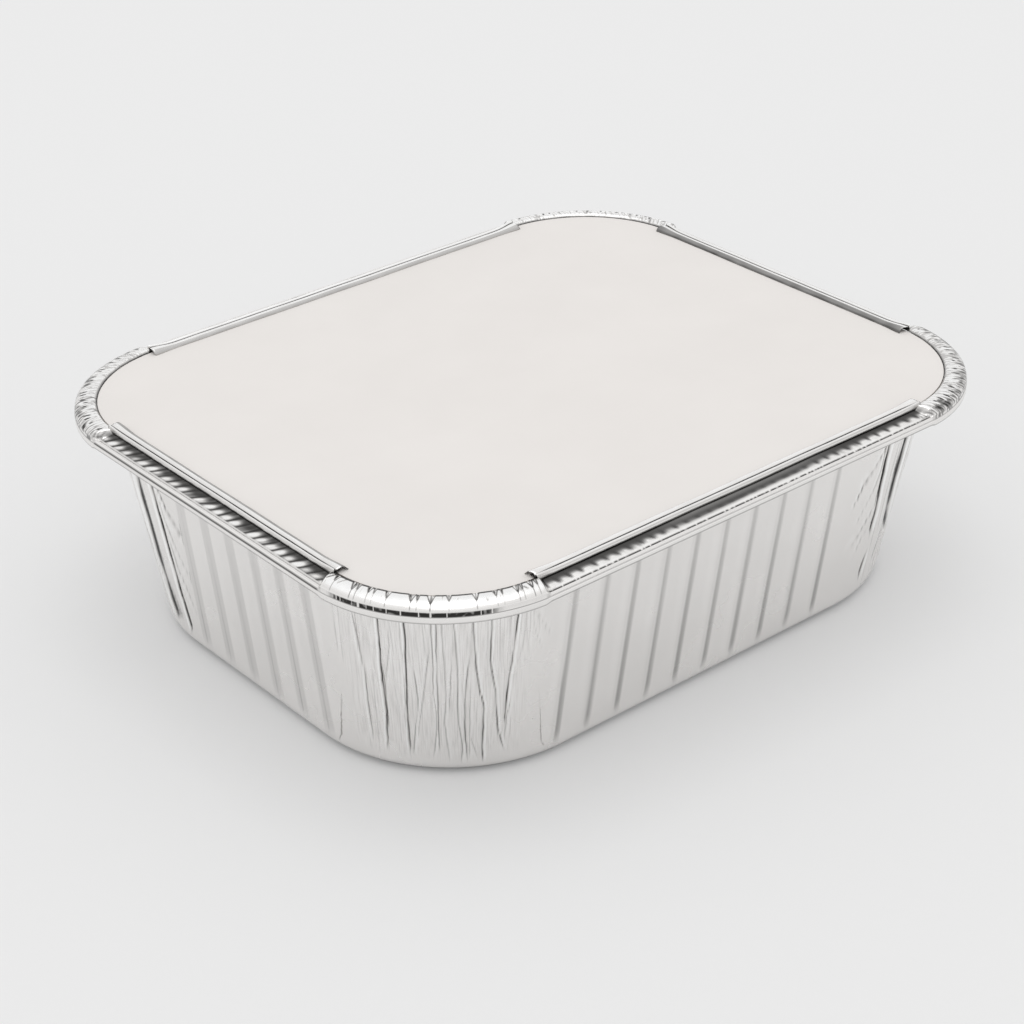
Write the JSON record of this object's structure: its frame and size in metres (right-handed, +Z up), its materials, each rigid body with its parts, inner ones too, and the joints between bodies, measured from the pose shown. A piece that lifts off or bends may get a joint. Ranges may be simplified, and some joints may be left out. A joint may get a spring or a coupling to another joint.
{
  "type": "foil food container with board lid",
  "caption": "Rectangular pressed foil food container with rounded corners and a folded rim that holds a flat board lid.",
  "frame": {"origin": "centre of the base, on the surface that the container stands on", "axes": "+X along the long side, +Z up out of the base towards the lid"},
  "size_m": [0.145, 0.122, 0.0435],
  "materials": {
    "foil": "bright rolled foil, lightly creased",
    "board": "matte uncoated off-white paperboard"
  },
  "bodies": {
    "root": {"foil_tray": "foil", "board_lid": "board"}
  },
  "joints": []
}
